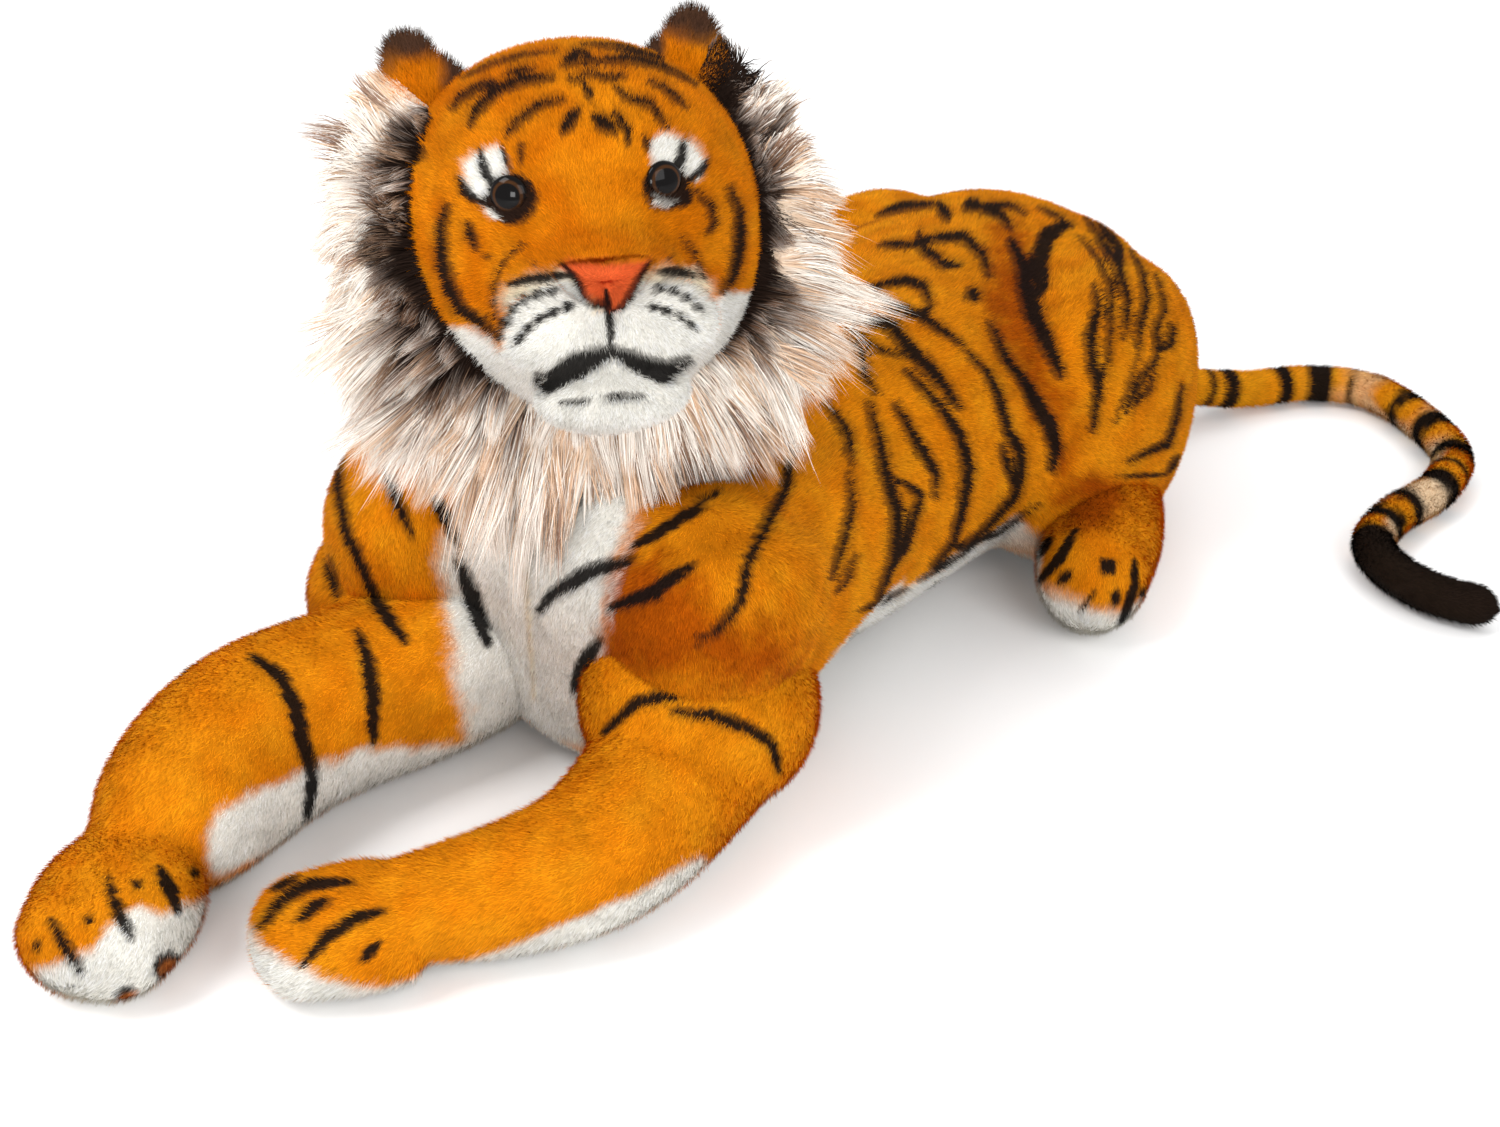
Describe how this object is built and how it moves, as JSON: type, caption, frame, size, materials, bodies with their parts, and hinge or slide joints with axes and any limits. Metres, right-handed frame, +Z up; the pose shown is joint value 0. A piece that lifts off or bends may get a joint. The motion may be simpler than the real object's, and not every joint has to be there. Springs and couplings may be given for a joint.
{
  "type": "plush tiger",
  "caption": "Large stuffed plush tiger lying down with its head turned, front legs stretched out, bendable limbs, folding ears and a long curled tail.",
  "frame": {"origin": "on the floor, in the middle of the flat underside of the belly panel", "axes": "-Y is where the body points, from tail root to chest; +X is the tiger's own left; +Z is up from the floor"},
  "size_m": [0.7465, 1.4657, 0.5841],
  "materials": {
    "orange_fur": "short soft pile",
    "white_fur": "short soft pile",
    "black_fur": "short soft pile",
    "ruff_fur": "long soft pile",
    "nose_fabric": "short velvet",
    "eye": "polished",
    "washer": "moulded"
  },
  "bodies": {
    "trunk": {"torso": "orange_fur", "belly_panel": "white_fur", "chest_panel": "white_fur", "left_shoulder": "orange_fur", "right_shoulder": "orange_fur", "left_haunch": "orange_fur", "right_haunch": "orange_fur"},
    "neck": {"neck": "orange_fur"},
    "head": {"skull": "orange_fur", "snout": "orange_fur", "left_muzzle_pad": "white_fur", "right_muzzle_pad": "white_fur", "chin": "white_fur", "nose": "nose_fabric", "left_ruff": "ruff_fur", "throat_ruff": "ruff_fur", "right_ruff": "ruff_fur", "left_eye": "eye", "right_eye": "eye", "left_eye_washer": "washer", "right_eye_washer": "washer"},
    "left_ear": {"left_ear": "orange_fur", "left_ear_lining": "orange_fur"},
    "right_ear": {"right_ear": "orange_fur", "right_ear_lining": "orange_fur"},
    "left_front_leg": {"left_front_leg": "orange_fur"},
    "right_front_leg": {"right_front_leg": "orange_fur"},
    "left_front_paw": {"left_front_paw": "orange_fur", "left_front_sole": "white_fur"},
    "right_front_paw": {"right_front_paw": "orange_fur", "right_front_sole": "white_fur"},
    "left_hind_foot": {"left_hind_foot": "orange_fur", "left_hind_sole": "white_fur"},
    "right_hind_foot": {"right_hind_foot": "orange_fur", "right_hind_sole": "white_fur"},
    "tail_root": {"tail_root": "orange_fur"},
    "tail_upper": {"tail_upper": "orange_fur"},
    "tail_middle": {"tail_middle": "orange_fur"},
    "tail_lower": {"tail_lower": "orange_fur"},
    "tail_tip": {"tail_tip": "black_fur"}
  },
  "joints": [
    {"name": "head_turn", "type": "hinge", "parent": "trunk", "child": "neck", "pos_m": [0, -0.14332, 0.303], "axis": [0, 0, 1], "range_deg": [-15, 15], "stiffness_Nm_per_rad": 6},
    {"name": "head_nod", "type": "hinge", "parent": "neck", "child": "head", "pos_m": [0, -0.14332, 0.303], "axis": [-0.6633, -0.7475, -0.0341], "range_deg": [-8, 8], "stiffness_Nm_per_rad": 8},
    {"name": "left_ear_fold", "type": "hinge", "parent": "head", "child": "left_ear", "pos_m": [0.03006, -0.11575, 0.53028], "axis": [0.6783, 0.6369, -0.3664], "range_deg": [-15, 15], "stiffness_Nm_per_rad": 0.05},
    {"name": "right_ear_fold", "type": "hinge", "parent": "head", "child": "right_ear", "pos_m": [-0.08934, -0.25031, 0.52413], "axis": [0.5337, 0.7289, 0.4288], "range_deg": [-15, 15], "stiffness_Nm_per_rad": 0.05},
    {"name": "left_leg_lift", "type": "hinge", "parent": "trunk", "child": "left_front_leg", "pos_m": [0.104, -0.18332, 0.0805], "axis": [-1, 0, 0], "range_deg": [0, 18], "stiffness_Nm_per_rad": 4},
    {"name": "right_leg_lift", "type": "hinge", "parent": "trunk", "child": "right_front_leg", "pos_m": [-0.104, -0.21332, 0.0805], "axis": [-1, 0, 0], "range_deg": [0, 18], "stiffness_Nm_per_rad": 4},
    {"name": "left_paw_flex", "type": "hinge", "parent": "left_front_leg", "child": "left_front_paw", "pos_m": [0.0887, -0.48932, 0.049], "axis": [-0.788, 0.6157, 0], "range_deg": [0, 12], "stiffness_Nm_per_rad": 0.5},
    {"name": "right_paw_flex", "type": "hinge", "parent": "right_front_leg", "child": "right_front_paw", "pos_m": [-0.09664, -0.58132, 0.049], "axis": [-0.8746, -0.4848, 0], "range_deg": [0, 12], "stiffness_Nm_per_rad": 0.5},
    {"name": "left_foot_swing", "type": "hinge", "parent": "trunk", "child": "left_hind_foot", "pos_m": [0.15933, 0.29259, 0.0585], "axis": [0, 0, 1], "range_deg": [-10, 10], "stiffness_Nm_per_rad": 1.5},
    {"name": "right_foot_swing", "type": "hinge", "parent": "trunk", "child": "right_hind_foot", "pos_m": [-0.15933, 0.29259, 0.0585], "axis": [0, 0, 1], "range_deg": [-10, 10], "stiffness_Nm_per_rad": 1.5},
    {"name": "tail_lift", "type": "hinge", "parent": "trunk", "child": "tail_root", "pos_m": [0.006, 0.50468, 0.085], "axis": [0.8944, -0.4472, 0], "range_deg": [0, 15], "stiffness_Nm_per_rad": 1.2},
    {"name": "tail_upper_bend", "type": "hinge", "parent": "tail_root", "child": "tail_upper", "pos_m": [0.04971, 0.58992, 0.04965], "axis": [0, 0, 1], "range_deg": [-6, 18], "stiffness_Nm_per_rad": 0.6},
    {"name": "tail_middle_bend", "type": "hinge", "parent": "tail_upper", "child": "tail_middle", "pos_m": [0.13786, 0.73096, 0.02298], "axis": [0, 0, 1], "range_deg": [-8, 18], "stiffness_Nm_per_rad": 0.4},
    {"name": "tail_lower_bend", "type": "hinge", "parent": "tail_middle", "child": "tail_lower", "pos_m": [0.28925, 0.7118, 0.023], "axis": [0, 0, 1], "range_deg": [-8, 18], "stiffness_Nm_per_rad": 0.3},
    {"name": "tail_tip_bend", "type": "hinge", "parent": "tail_lower", "child": "tail_tip", "pos_m": [0.3457, 0.56142, 0.023], "axis": [0, 0, 1], "range_deg": [-10, 18], "stiffness_Nm_per_rad": 0.2}
  ]
}
